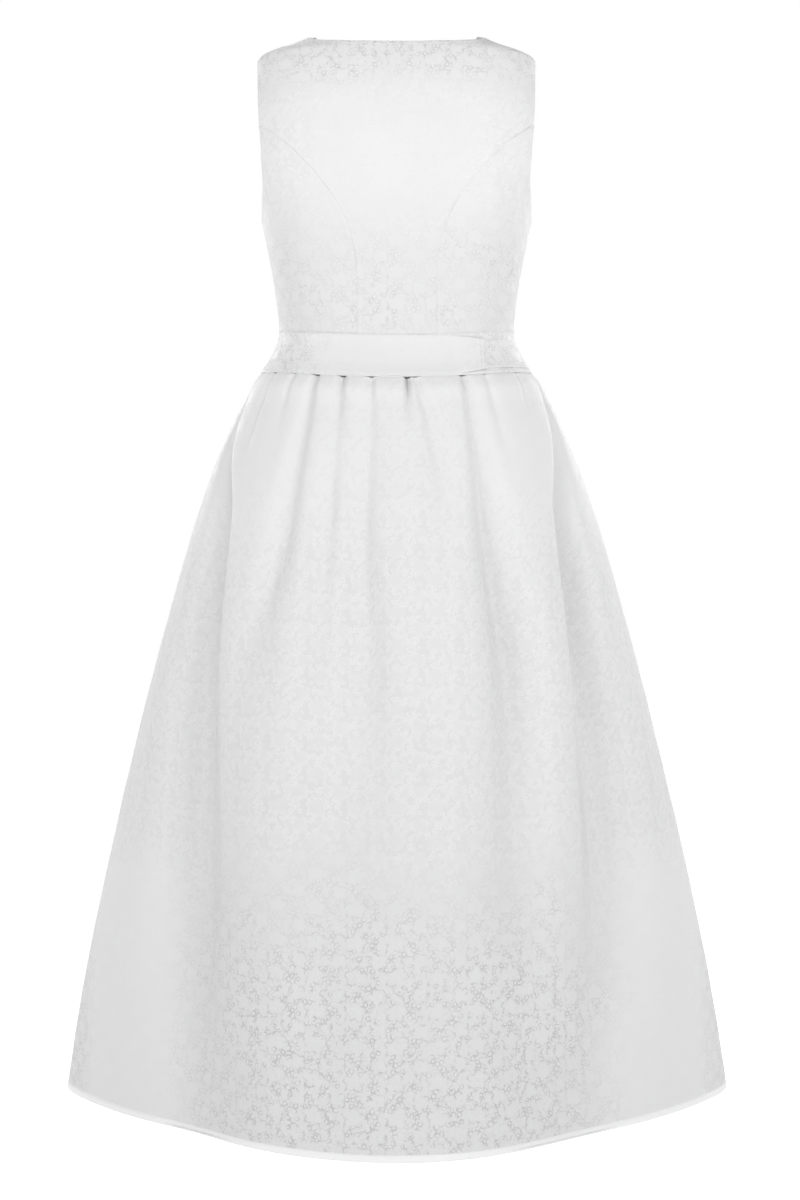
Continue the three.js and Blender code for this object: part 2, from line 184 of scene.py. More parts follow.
def run_along(points, axis):
    """The distance run along each row (axis 1) or column (axis 0) of a grid of points."""
    steps = np.linalg.norm(np.diff(points, axis=axis), axis=-1)
    start = np.zeros_like(np.take(steps, [0], axis=axis))
    return np.cumsum(np.concatenate([start, steps], axis=axis), axis=axis)


SHARP_ANGLE = 55


def make_cloth(name, outer, thickness, chart):
    """A closed thin shell. outer is a grid of points in millimetres, chart its places on the flat cloth."""
    rows, columns = outer.shape[:2]
    inner = outer - thickness * grid_normals(outer)
    vertices = np.concatenate([outer.reshape(-1, 3), inner.reshape(-1, 3)]) * MM
    index = np.arange(rows * columns).reshape(rows, columns)
    a, b, c, d = index[:-1, :-1], index[:-1, 1:], index[1:, 1:], index[1:, :-1]
    faces = [np.stack([a, b, c, d], -1).reshape(-1, 4)]
    faces.append(faces[0][:, ::-1] + rows * columns)
    rim = np.concatenate([index[0, :-1], index[:-1, -1], index[-1, :0:-1], index[:0:-1, 0]])
    ahead = np.roll(rim, -1)
    faces.append(np.stack([ahead, rim, rim + rows * columns, ahead + rows * columns], -1))
    faces = np.concatenate(faces)
    mesh = bpy.data.meshes.new(name)
    mesh.vertices.add(len(vertices))
    mesh.vertices.foreach_set("co", vertices.astype(np.float32).ravel())
    mesh.loops.add(faces.size)
    mesh.loops.foreach_set("vertex_index", faces.astype(np.int32).ravel())
    mesh.polygons.add(len(faces))
    mesh.polygons.foreach_set("loop_start", np.arange(0, faces.size, 4, dtype=np.int32))
    mesh.update(calc_edges=True)
    places = np.concatenate([chart.reshape(-1, 2)] * 2) * MM
    layer = mesh.uv_layers.new(name="cloth")
    layer.uv.foreach_set("vector", places[faces.ravel()].astype(np.float32).ravel())
    mesh.shade_smooth()
    mesh.set_sharp_from_angle(angle=math.radians(SHARP_ANGLE))
    piece = bpy.data.objects.new(name, mesh)
    bpy.context.scene.collection.objects.link(piece)
    return piece


def cut_of(outer):
    """The flat width, length and area of a piece, in metres, from its own surface."""
    width = run_along(outer, 1)[:, -1].max() * MM
    length = run_along(outer, 0)[-1].max() * MM
    across, up = outer[:-1, 1:] - outer[:-1, :-1], outer[1:, :-1] - outer[:-1, :-1]
    area = np.linalg.norm(np.cross(across, up), axis=-1).sum() * MM * MM
    return width, length, min(area, width * length)


# Lobed leaves, berries in small bunches and short hooked stems are woven tone on tone into the white cotton:
# satin figures on a matt ground, outlined where the threads change sides.
WHITE = (0.72, 0.72, 0.722)
REPEAT_WIDE = 54
REPEAT_HIGH = 44
LEAVES = [
    dict(across=0, up=0, radius=10.8, lobes=5, tip=84, stretch=1.28),
    dict(across=-24, up=20.5, radius=9.6, lobes=5, tip=112, stretch=1.2),
    dict(across=15, up=21, radius=6.6, lobes=3, tip=35, stretch=1.15),
]
BERRIES = [
    (17.5, -7.5), (22.6, -3), (24, -9.6), (17.2, -14), (27.5, 2), (19.5, 3.4), (13.5, 9.6), (23, 9),
    (8.4, 10.6), (-9.6, 22), (31, -6.4), (29.6, 8.4), (19.6, 30.6), (-2.4, 32.6), (-3.8, 14.2), (2.3, 17),
    (-1.2, 22.4), (4.8, 24.4), (-6.2, 27), (25.6, 14.6), (10.5, 30.2), (-12.6, 9.6),
]
BERRY_RADIUS = 2.7
HOOKS = [
    dict(across=8.6, up=14.6, radius=6.2, towards=60),
    dict(across=-14.5, up=13.2, radius=5.2, towards=200),
    dict(across=20.6, up=29.6, radius=6.8, towards=320),
    dict(across=-7.6, up=33.4, radius=5.4, towards=130),
    dict(across=13.4, up=-2.8, radius=5.0, towards=350),
]
HOOK_FADES = (0.1, 0.35)
LEAF_SHAPE = dict(body=0.68, lobes=0.36, teeth=0.10, teeth_to_a_lobe=5)
RIB = dict(width=0.75, starts=(1.2, 3.4))
INNER_VEIN = dict(inset=3, width=0.7, share=0.6)
LEAF_SATIN = 0.7
OUTLINE = 1.3
SOFT_EDGE = (-0.3, 0.4)
BERRY_SOFT_EDGE = 0.5
THREAD = 0.62
WOBBLE = dict(reach=4.8, scale=0.16)
MOTIF_SIZE = 0.82


class Signal:
    """A socket of a material's nodes, so that sums and products of signals read as they would on paper."""

    def __init__(self, socket):
        self.socket = socket

    def make(self, kind, settings=None, values=None, output=0):
        """A node of that kind with its settings, and the values or signals of its sockets."""
        tree = self.socket.id_data
        node = tree.nodes.new(kind)
        for name, setting in (settings or {}).items():
            setattr(node, name, setting)
        for name, value in (values or {}).items():
            if isinstance(value, Signal):
                tree.links.new(value.socket, node.inputs[name])
            else:
                node.inputs[name].default_value = value
        return Signal(node.outputs[output])

    def maths(self, operation, *others):
        return self.make("ShaderNodeMath", {"operation": operation}, dict(enumerate((self, *others))))

    def vector(self, operation, *others, output=0):
        values = dict(enumerate((self, *others)))
        return self.make("ShaderNodeVectorMath", {"operation": operation}, values, output)

    def __add__(self, other):
        return self.maths("ADD", other)

    __radd__ = __add__

    def __mul__(self, other):
        return self.maths("MULTIPLY", other)

    __rmul__ = __mul__

    def __sub__(self, other):
        return self.maths("SUBTRACT", other)

    def __rsub__(self, other):
        return self.make("ShaderNodeMath", {"operation": "SUBTRACT"}, {0: other, 1: self})

    def __truediv__(self, other):
        return self.maths("DIVIDE", other)

    def __abs__(self):
        return self.maths("ABSOLUTE")

    def part(self, axis):
        return self.make("ShaderNodeSeparateXYZ", {}, {"Vector": self}, axis)

    def length(self):
        return self.vector("LENGTH", output=1)

    def ramp(self, start, end):
        """0 at start, 1 at end, and smooth between them."""
        return self.make(
            "ShaderNodeMapRange",
            {"interpolation_type": "SMOOTHSTEP"},
            {"Value": self, "From Min": start, "From Max": end},
        )

    def clouds(self, scale, detail, output=0):
        """A soft flat noise over the place that the signal gives."""
        values = {"Vector": self, "Scale": scale, "Detail": detail}
        return self.make("ShaderNodeTexNoise", {"noise_dimensions": "2D"}, values, output)

    def line(self, width):
        """1 where the signal is 0, and 0 from width on either side."""
        return abs(self).ramp(width, 0)

    def bump(self, strength, distance):
        """The normal of a surface that the signal raises."""
        return self.make("ShaderNodeBump", {}, {"Height": self, "Strength": strength, "Distance": distance})

    def tint(self, colour):
        """A colour scaled by the signal."""
        values = {"Factor": self, "A": (0, 0, 0, 1), "B": (*colour, 1)}
        return self.make("ShaderNodeMix", {"data_type": "RGBA"}, values, 2)


def most(signals):
    """The largest of some signals."""
    total = signals[0]
    for signal in signals[1:]:
        total = total.maths("MAXIMUM", signal)
    return total


def new_material(name):
    material = bpy.data.materials.new(name)
    material.use_nodes = True
    return material, material.node_tree.nodes["Principled BSDF"]


def cloth_place(shader):
    """The place on the flat cloth, in millimetres."""
    chart = Signal(shader.inputs["Roughness"]).make("ShaderNodeUVMap", {"uv_map": "cloth"})
    return chart.vector("MULTIPLY", (1000, 1000, 1000))


def around(place, across, up):
    """The offset from the nearest repeat of a point of the pattern."""
    half = (REPEAT_WIDE / 2, REPEAT_HIGH / 2, 1)
    return place.vector("SUBTRACT", (across, up, 0)).vector("WRAP", half, tuple(-h for h in half))


def jacquard_pattern(place):
    """Figure, outline and vein signals of the woven leaves and berries."""
    place = place.vector("DIVIDE", (MOTIF_SIZE,) * 3)
    stray = place.clouds(WOBBLE["scale"], 1.0, 1).vector("SUBTRACT", (0.5, 0.5, 0.5))
    place = place.vector("ADD", stray.vector("MULTIPLY", (WOBBLE["reach"],) * 3))
    leaves, edges, veins = [], [], []
    for leaf in LEAVES:
        offset = around(place, leaf["across"], leaf["up"]).vector("DIVIDE", (leaf["stretch"], 1, 1))
        away = offset.length()
        angle = offset.part(1).maths("ARCTAN2", offset.part(0)) - math.radians(leaf["tip"])
        half_lobes = leaf["lobes"] / 2
        lobe = abs((angle * half_lobes).maths("COSINE"))
        teeth = abs((angle * (half_lobes * LEAF_SHAPE["teeth_to_a_lobe"])).maths("COSINE"))
        rim = lobe * LEAF_SHAPE["lobes"] + teeth * LEAF_SHAPE["teeth"] + LEAF_SHAPE["body"]
        inside = rim * leaf["radius"] - away
        leaves.append(inside.ramp(*SOFT_EDGE))
        edges.append(inside.line(OUTLINE))
        ribs = ((angle * half_lobes).maths("SINE") * away).line(RIB["width"]) * inside.ramp(*RIB["starts"])
        inner_vein = (inside - INNER_VEIN["inset"]).line(INNER_VEIN["width"]) * INNER_VEIN["share"]
        veins.append(most([ribs, inner_vein]))
    leaf = most(leaves)
    nearest = around(place, *BERRIES[0]).length()
    for berry in BERRIES[1:]:
        nearest = nearest.maths("MINIMUM", around(place, *berry).length())
    berry = nearest.ramp(BERRY_RADIUS, BERRY_RADIUS - BERRY_SOFT_EDGE) * (1 - leaf)
    ring = (nearest - BERRY_RADIUS).line(OUTLINE) * (1 - leaf)
    hooks = []
    for hook in HOOKS:
        offset = around(place, hook["across"], hook["up"])
        towards = math.radians(hook["towards"])
        along = offset.vector("DOT_PRODUCT", (math.cos(towards), math.sin(towards), 0), output=1)
        shown = (along / hook["radius"]).ramp(*HOOK_FADES)
        hooks.append((offset.length() - hook["radius"]).line(OUTLINE) * shown)
    hook = most(hooks) * (1 - leaf) * (1 - berry)
    return most([leaf * LEAF_SATIN, berry]), most([*edges, ring, hook]), most(veins)


# In each zone of the dress the figures show dark, light or hardly at all, and some zones are paler or darker.
# These zones are painted sheen, painted light and painted shade, fixed on the cloth where the satin catches
# or loses the light. Each pair says where a zone begins and where it is full, in metres: as a height from the
# shoulders, or as a distance aside from the middle.
DARK_HEM = dict(level=(-0.78, -1.1), aside=(0.34, 0.12), at_sides=(0.33, 0.38), sides_share=0.7)
DARK_WAIST = dict(top=(-0.15, -0.28), bottom=(-0.43, -0.34), share=0.52)
DARK_SHOULDERS = dict(level=(-0.085, -0.035), share=0.8)
DARK_BELT_ENDS = dict(aside=(0.075, 0.11), share=0.75)
PAINTED_SHEEN_BACK = dict(bottom=(-0.25, -0.19), top=(-0.05, -0.10), aside=(0.13, 0.07))
PAINTED_SHEEN_BELT = dict(bottom=(-0.393, -0.389), top=(-0.339, -0.343), aside=(0.1, 0.06))
PAINTED_LIGHT_HIPS = dict(bottom=(-0.64, -0.5), top=(-0.389, -0.395), aside=(0.05, 0.12), middle_share=0.4)
PAINTED_LIGHT_SIDES = dict(level=(-0.9, -1.0), aside=(0.2, 0.29), ends=(0.385, 0.33))
LIGHT_SKIRT = dict(top=(-0.42, -0.5), bottom=(-1.1, -0.9), share=0.13, elsewhere=0.1)
WAIST_CURVE = dict(bend=0.6, drop=0.014)
DRIFT = dict(scale=0.012, share=0.8, tone=0.04)
PATCHES = dict(scale=0.11, shown=(0.34, 0.62))
DARK_LINE = dict(edge=0.38, vein=0.26)
LIGHT_VEIN = 0.7
DARK_RANGE = (0, 1.1)
PAINTED_SHEEN_FADE = 0.85
GROUND = 0.945
FIGURE_TONE = 0.03
PAINTED_LIGHT_AND_SHADE_TONE = dict(plain=0.03, hips=2.4, sides=2.5, waist=0.07, skirt=0.1)
LUSTRE = dict(ground=0.58, figure=0.14, edge=0.08)
RELIEF = dict(figure=0.08, edge=0.08, vein=0.03, threads=0.01, strength=0.8)


def jacquard_material():
    material, shader = new_material("white_jacquard")
    place = cloth_place(shader)
    figure, edge, vein = jacquard_pattern(place)
    stand = place.make("ShaderNodeTexCoord", {}, {}, 3)
    level, aside = stand.part(2), abs(stand.part(0))
    band = level - aside * aside * WAIST_CURVE["bend"] + WAIST_CURVE["drop"]
    belt = band.ramp(*PAINTED_SHEEN_BELT["bottom"]) * band.ramp(*PAINTED_SHEEN_BELT["top"])

    across_hem = [aside.ramp(*DARK_HEM["aside"]), aside.ramp(*DARK_HEM["at_sides"]) * DARK_HEM["sides_share"]]
    low = level.ramp(*DARK_HEM["level"]) * most(across_hem)
    waist = level.ramp(*DARK_WAIST["top"]) * level.ramp(*DARK_WAIST["bottom"]) * DARK_WAIST["share"]
    shoulder = level.ramp(*DARK_SHOULDERS["level"]) * DARK_SHOULDERS["share"]
    ends = belt * aside.ramp(*DARK_BELT_ENDS["aside"]) * DARK_BELT_ENDS["share"]
    # The pattern fading out on the back's middle and on the belt is painted sheen, and the paler ground there
    # is painted light.
    back = level.ramp(*PAINTED_SHEEN_BACK["bottom"]) * level.ramp(*PAINTED_SHEEN_BACK["top"])
    back = back * aside.ramp(*PAINTED_SHEEN_BACK["aside"])
    flat = most([back, belt * aside.ramp(*PAINTED_SHEEN_BELT["aside"])])
    # The hips under the band and the lower sides of the skirt are painted paler: painted light.
    off_middle = aside.ramp(*PAINTED_LIGHT_HIPS["aside"]) * (1 - PAINTED_LIGHT_HIPS["middle_share"]) + PAINTED_LIGHT_HIPS["middle_share"]
    hips = level.ramp(*PAINTED_LIGHT_HIPS["bottom"]) * band.ramp(*PAINTED_LIGHT_HIPS["top"]) * off_middle
    sides = level.ramp(*PAINTED_LIGHT_SIDES["level"]) * aside.ramp(*PAINTED_LIGHT_SIDES["aside"])
    sides = sides * aside.ramp(*PAINTED_LIGHT_SIDES["ends"])

    drift = place.clouds(DRIFT["scale"], 2.0) - 0.5
    # Whether outlines and veins show dark or light is painted sheen: the satin catching or losing the light,
    # set by zone and by a soft random drift.
    dark = (most([low, waist, shoulder, ends]) + drift * DRIFT["share"]).ramp(*DARK_RANGE)
    light = level.ramp(*LIGHT_SKIRT["top"]) * level.ramp(*LIGHT_SKIRT["bottom"]) * LIGHT_SKIRT["share"]
    light = light + LIGHT_SKIRT["elsewhere"]
    shown = (1 - flat * PAINTED_SHEEN_FADE) * place.clouds(PATCHES["scale"], 2.0).ramp(*PATCHES["shown"])
    lines = edge * (dark * DARK_LINE["edge"] - light) + vein * (dark * DARK_LINE["vein"] - light * LIGHT_VEIN)
    # The ground is painted paler on the plain-looking zones, the hips and the lower sides (painted light),
    # darker on the lower bodice (painted shade), and darker where the outlines are painted light. The drift
    # adds a random tone.
    painted_light = most([flat, belt, hips * PAINTED_LIGHT_AND_SHADE_TONE["hips"], sides * PAINTED_LIGHT_AND_SHADE_TONE["sides"]]) * PAINTED_LIGHT_AND_SHADE_TONE["plain"]
    painted_light_and_shade = painted_light - waist * (1 - belt) * PAINTED_LIGHT_AND_SHADE_TONE["waist"]
    shade = GROUND + figure * (FIGURE_TONE - flat * FIGURE_TONE) - lines * shown
    shade = shade + drift * DRIFT["tone"] + painted_light_and_shade - light * PAINTED_LIGHT_AND_SHADE_TONE["skirt"]

    along = (place.part(0) * (2 * math.pi / THREAD)).maths("SINE")
    threads = along * (place.part(1) * (2 * math.pi / THREAD)).maths("SINE")
    height = figure * RELIEF["figure"] - edge * RELIEF["edge"] - vein * RELIEF["vein"]
    height = height + threads * RELIEF["threads"]
    bump = height.bump(RELIEF["strength"], MM)
    roughness = LUSTRE["ground"] - figure * LUSTRE["figure"] + edge * LUSTRE["edge"]
    tree = material.node_tree
    tree.links.new(shade.tint(WHITE).socket, shader.inputs["Base Color"])
    tree.links.new(roughness.socket, shader.inputs["Roughness"])
    tree.links.new(bump.socket, shader.inputs["Normal"])
    shader.inputs["Sheen Weight"].default_value = 0.02
    shader.inputs["Sheen Roughness"].default_value = 0.35
    shader.inputs["Specular IOR Level"].default_value = 0.2
    return material


jacquard = jacquard_material()


def finish_piece(piece, material, slot, *nodes):
    piece.data.materials.append(material)
    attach(piece, "root")
    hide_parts(*nodes)


TOPSTITCH = dict(length=2.4, gap=0.6, width=0.8, height=0.4, sunk=0.1)
TOPSTITCH_INSET = 5
THREAD_WHITE = (0.84, 0.84, 0.845)
THREAD_TWIST = 700.0


def thread_material():
    material, shader = new_material("sewing_thread")
    place = Signal(shader.inputs["Roughness"]).make("ShaderNodeTexCoord", {}, {}, 3)
    lustre = place.make("ShaderNodeTexNoise", {}, {"Vector": place, "Scale": THREAD_TWIST, "Detail": 1.0})
    tree = material.node_tree
    tree.links.new((lustre * 0.1 + 0.95).tint(THREAD_WHITE).socket, shader.inputs["Base Color"])
    tree.links.new((0.35 + lustre * 0.3).socket, shader.inputs["Roughness"])
    return material


sewing_thread = thread_material()


def inset_line(outer, edge, inset):
    """The line on a piece that far inside its bottom, top, first or last edge, numbered 0 to 3."""
    sideways = outer.transpose(1, 0, 2)
    grid = (outer, outer[::-1], sideways, sideways[::-1])[edge]
    run = run_along(grid, 0)
    columns = range(grid.shape[1])
    return np.array([[np.interp(inset, run[:, i], grid[:, i, axis]) for axis in range(3)] for i in columns])


def make_stitches(name, lines, width=TOPSTITCH["width"]):
    """Short raised stitches of thread along lines of points, all in one mesh."""
    length, gap, sunk = TOPSTITCH["length"], TOPSTITCH["gap"], TOPSTITCH["sunk"]
    vertices, faces = [], []
    for line in lines:
        run = np.concatenate([[0], np.cumsum(np.linalg.norm(np.diff(line, axis=0), axis=1))])
        for start in np.arange(gap, run[-1] - length, length + gap):
            at = start + length * np.array([0, 0.5, 1])
            a, middle, b = np.stack([np.interp(at, run, line[:, axis]) for axis in range(3)], -1)
            out = np.array([middle[0], middle[1], 0]) / np.hypot(middle[0], middle[1])
            aside = np.cross(b - a, out)
            aside *= width / 2 / np.linalg.norm(aside)
            raised = middle + out * TOPSTITCH["height"]
            i = len(vertices)
            vertices += [a - sunk * out, b - sunk * out]
            vertices += [middle + aside, raised, middle - aside, middle - 2 * sunk * out]
            for j in range(4):
                k = (j + 1) % 4
                faces += [(i, i + 2 + j, i + 2 + k), (i + 1, i + 2 + k, i + 2 + j)]
    mesh = bpy.data.meshes.new(name)
    mesh.from_pydata([tuple(v * MM) for v in vertices], [], faces)
    mesh.shade_smooth()
    mesh.materials.append(sewing_thread)
    piece = bpy.data.objects.new(name, mesh)
    bpy.context.scene.collection.objects.link(piece)
    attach(piece, "root")


BODICE_CLOTH = 0.9
BODICE_MESH = 2.6
BACK_NECK_DROP = 23
BACK_NECK_POWER = 1.2
FRONT_NECK_DROP = 150
FRONT_NECK_ROUNDNESS = 2.6
ARMHOLE = [(-206, 161), (-190, 159.5), (-166, 158), (-131, 159.5), (-94, 162.5), (-54, 164.5), (-14.4, 166)]
BACK_SEAM = [
    (-341, 46), (-275, 46.5), (-237, 53), (-204, 67), (-175, 87), (-151, 107), (-125, 133), (-102, 161.9),
]
FRONT_SEAM = [
    (-341, 60), (-300, 66), (-262, 74), (-226, 83), (-195, 96), (-166, 114), (-140, 137), (-116, 160.7),
]
GROOVE = dict(depth=0.04, width=1.3)
RIDGE = dict(height=0.65, away=2.8, width=2.0)
TURNED_EDGE = dict(height=0.35, width=6.0, curl=0.5, curl_width=0.6)
BODICE_SWELLS = [(0.7, 60), (0.25, 19)]


def across_at(table, level):
    """How far from the middle a seam or edge lies at a level."""
    return look_up(*zip(*table), level)


def turn_at(across, level):
    """The turn of a place on the bodice that lies that far from the middle."""
    return np.degrees(np.arccos(np.clip(across / section("half_width", level), -1, 1)))


def paced(*curves):
    """One edge made of curves that follow each other: a function from a share of its length to a place."""
    across, level = (np.concatenate([curve[k] for curve in curves]) for k in (0, 1))
    run = np.concatenate([[0], np.cumsum(np.hypot(np.diff(across), np.diff(level)))])
    return lambda share: (np.interp(share * run[-1], run, across), np.interp(share * run[-1], run, level))


def fill(bottom, top, first, last, columns, rows):
    """A grid between four edges. The shapes of the bottom and top edges fade out away from them."""
    u, v = np.meshgrid(columns, rows)
    places = []
    for k in (0, 1):
        b, t, f, l = bottom(columns)[k], top(columns)[k], first(rows)[k], last(rows)[k]
        low, high = b - mix(b[0], b[-1], columns), t - mix(t[0], t[-1], columns)
        places.append(mix(f[:, None], l[:, None], u) + low * (1 - v) ** 3 + high * v**3)
    return places


SHARES = np.linspace(0, 1, 90)


def waist_edge(seam):
    return SHARES * seam[0][1], np.full_like(SHARES, WAIST_SEAM)


def up_the_seam(seam):
    level = mix(WAIST_SEAM, seam[-1][0], SHARES)
    return across_at(seam, level), level


def up_the_armhole(seam):
    level = mix(seam[-1][0], SHOULDER_TIP, SHARES)
    return across_at(ARMHOLE, level), level


def shoulder_seam():
    """From the neck point out to the tip."""
    level = mix(NECK_POINT, SHOULDER_TIP, SHARES)
    return section("half_width", level), level


def backwards(curve):
    return curve[0][::-1], curve[1][::-1]


def up_the_middle(top):
    return np.zeros_like(SHARES), mix(WAIST_SEAM, top, SHARES)


def back_neckline():
    turn = 90 * (1 - SHARES)
    level = NECK_POINT - BACK_NECK_DROP * np.sin(np.radians(turn)) ** BACK_NECK_POWER
    return section("half_width", level) * np.cos(np.radians(turn)), level


def front_neckline():
    angle, power = SHARES * math.pi / 2, 2 / FRONT_NECK_ROUNDNESS
    across = section("half_width", NECK_POINT) * np.sin(angle) ** power
    return across, NECK_POINT - FRONT_NECK_DROP * np.cos(angle) ** power


EDGE_STEPS = (0, 0.7, 1.5)
CLEAR_OF_EDGE = 1.5


def steps(length, step=BODICE_MESH):
    """Shares from 0 to 1 about a step apart, with closer ones at both ends where the edges curl."""
    inner = np.linspace(0, 1, max(int(length / step), 4))[1:-1]
    fine = np.array(EDGE_STEPS) / length
    clear = fine[-1] * CLEAR_OF_EDGE
    return np.concatenate([fine, inner[(inner > clear) & (inner < 1 - clear)], 1 - fine[::-1]])


CHART_LEVELS = 90
CHART_TURNS = 120


def bodice_chart(turn, level):
    """Where a place on the bodice lies on the flat cloth, measured from the middle of the front or back."""
    levels = np.linspace(WAIST_SEAM, NECK_POINT, CHART_LEVELS)
    turns = np.linspace(0, 180, CHART_TURNS + 1)
    middle = CHART_TURNS // 2
    side = np.where(np.mean(turn) < 0 or np.mean(turn) > 180, -1, 1)
    points = body_point(*np.meshgrid(turns * side, levels))
    around = run_along(points, 1) * side
    around = around - around[:, [middle]]
    up = run_along(points[:, [middle]], 0)[:, 0]
    at = np.interp(level, levels, np.arange(len(levels)))
    row = np.minimum(at.astype(int), len(levels) - 2)
    folded = np.where(turn > 180, 360 - turn, np.abs(turn))
    column = np.clip(folded / 180 * CHART_TURNS, 0, CHART_TURNS - 0.001)
    col = column.astype(int)
    s, q = at - row, column - col
    u = (around[row, col] * (1 - q) + around[row, col + 1] * q) * (1 - s) + (
        around[row + 1, col] * (1 - q) + around[row + 1, col + 1] * q
    ) * s
    return np.stack([u, np.interp(level, levels, up)], -1)


SEAM, TURNED = 1, 2


def edge_relief(points, kinds):
    """How far seams and turned edges raise or sink the cloth. kinds: bottom, top, first and last edge."""
    across, up = run_along(points, 1), run_along(points, 0)
    distances = (up, up[-1:] - up, across, across[:, -1:] - across)
    relief = np.zeros(points.shape[:2])
    for distance, kind in zip(distances, kinds):
        kind = np.broadcast_to(np.asarray(kind), relief.shape)
        groove = -GROOVE["depth"] * np.exp(-((distance / GROOVE["width"]) ** 2))
        ridge = RIDGE["height"] * np.exp(-(((distance - RIDGE["away"]) / RIDGE["width"]) ** 2))
        rolled = TURNED_EDGE["height"] * smooth(1 - distance / TURNED_EDGE["width"])
        rolled -= TURNED_EDGE["curl"] * np.exp(-distance / TURNED_EDGE["curl_width"])
        relief += np.where(kind == SEAM, groove + ridge, 0) + np.where(kind == TURNED, rolled, 0)
    return relief


def make_panel(name, places, kinds, seed, shift):
    turn, level = places
    points = body_point(turn, level)
    relief = swell(edge_relief(points, kinds), points, BODICE_SWELLS, seed)
    outer = points + relief[..., None] * body_normal(turn, level)
    piece = make_cloth(name, outer, BODICE_CLOTH, bodice_chart(turn, level) + shift)
    finish_piece(piece, jacquard, "white_jacquard", name)
    width, length, area = cut_of(outer)
    lines = [inset_line(outer, edge, TOPSTITCH_INSET) for edge in range(4)]
    turned = [np.broadcast_to(np.ravel(kind), len(line)) == TURNED for kind, line in zip(kinds, lines)]
    make_stitches(name + "_topstitching", [line[kept] for line, kept in zip(lines, turned) if kept.any()])


def mirror_places(places):
    turn, level = places
    return 180 - turn[:, ::-1], level[:, ::-1]


def edge_kinds(seam, level, on_shoulder):
    """A panel's outer edge is sewn below the seam's end and on the shoulder, and turned in between."""
    return np.where((level <= seam[-1][0]) | on_shoulder, SEAM, TURNED)[:, None]


half_across, half_level = fill(
    bottom=paced(waist_edge(BACK_SEAM)),
    top=paced(back_neckline()),
    first=paced(up_the_middle(NECK_POINT - BACK_NECK_DROP)),
    last=paced(up_the_seam(BACK_SEAM), up_the_armhole(BACK_SEAM), backwards(shoulder_seam())),
    columns=steps(170),
    rows=steps(430),
)
half_turn = turn_at(half_across, half_level)
back_places = (
    np.concatenate([half_turn[:, ::-1], 180 - half_turn[:, 1:]], 1),
    np.concatenate([half_level[:, ::-1], half_level[:, 1:]], 1),
)
edge_level = half_level[:, -1]
edge_kind = edge_kinds(BACK_SEAM, edge_level, np.arange(len(edge_level)) > np.argmax(half_across[:, -1]))
make_panel("back_centre", back_places, (SEAM, TURNED, edge_kind, edge_kind), seed=3, shift=(0, 0))


ARMHOLE_CURVE = 1.5
UNDERARM_WIDTH = 1 / 8


def side_panel(seam, side):
    """A side back or side front, from the side seam round to a curved seam and up to the armhole."""
    joins = seam[-1][0]
    top_level = mix(UNDERARM, joins, SHARES**ARMHOLE_CURVE)
    top_turn = turn_at(across_at(ARMHOLE, top_level), top_level) * smooth(SHARES / UNDERARM_WIDTH)
    bottom_turn = SHARES * turn_at(seam[0][1], WAIST_SEAM)

    def curved_seam(share):
        level = mix(WAIST_SEAM, joins, share)
        return turn_at(across_at(seam, level), level), level

    turn, level = fill(
        bottom=lambda u: (np.interp(u, SHARES, bottom_turn), np.full_like(u, WAIST_SEAM)),
        top=lambda u: (np.interp(u, SHARES, top_turn), np.interp(u, SHARES, top_level)),
        first=lambda v: (np.zeros_like(v), mix(WAIST_SEAM, UNDERARM, v)),
        last=curved_seam,
        columns=steps(130),
        rows=steps(200),
    )
    return (turn, level) if side > 0 else (-turn[:, ::-1], level[:, ::-1])


back_side = side_panel(BACK_SEAM, 1)
front_side = side_panel(FRONT_SEAM, -1)
side_kinds = (SEAM, TURNED, SEAM, SEAM)
make_panel("back_side_left", back_side, side_kinds, seed=5, shift=(21, 9))
make_panel("back_side_right", mirror_places(back_side), side_kinds, seed=7, shift=(40, 31))
make_panel("front_side_left", front_side, side_kinds, seed=11, shift=(13, 22))
make_panel("front_side_right", mirror_places(front_side), side_kinds, seed=13, shift=(52, 5))

front_across, front_level = fill(
    bottom=paced(waist_edge(FRONT_SEAM)),
    top=paced(shoulder_seam()),
    first=paced(up_the_middle(NECK_POINT - FRONT_NECK_DROP), front_neckline()),
    last=paced(up_the_seam(FRONT_SEAM), up_the_armhole(FRONT_SEAM)),
    columns=steps(110),
    rows=steps(400),
)
front_left = (-turn_at(front_across, front_level), front_level)
middle_kind = np.where(front_across[:, 0] < 0.5, SEAM, TURNED)[:, None]
armhole_kind = edge_kinds(FRONT_SEAM, front_level[:, -1], False)
left_kinds, right_kinds = (SEAM, SEAM, middle_kind, armhole_kind), (SEAM, SEAM, armhole_kind, middle_kind)
make_panel("front_centre_left", front_left, left_kinds, seed=17, shift=(0, 14))
make_panel("front_centre_right", mirror_places(front_left), right_kinds, seed=19, shift=(0, 14))

# The waistband, a shaped strip of jacquard round the raised waist in a back and two front pieces. The bodice
# is sewn to its top and the gathered skirt to its bottom.
BAND_CLOTH = 1.6
BAND_SWELLS = [(0.35, 30)]
WAIST_DEGREE = 2.3


def strip_places(start, end, low, high, step=3.0, rows=26):
    """A grid round the waist, whose columns lie about a step apart."""
    turns = np.linspace(start, end, int(abs(end - start) * WAIST_DEGREE / step) + 2)
    return np.meshgrid(turns, mix(low, high, np.linspace(0, 1, rows)))


def strip_chart(points, shift=(0, 0)):
    """Where the places of a strip or panel lie on the flat cloth, measured from its middle."""
    across, up = run_along(points, 1), run_along(points, 0)
    middle = points.shape[1] // 2
    up = np.broadcast_to(up[:, [middle]], across.shape)
    return np.stack([across - across[:, [middle]], up], -1) + shift


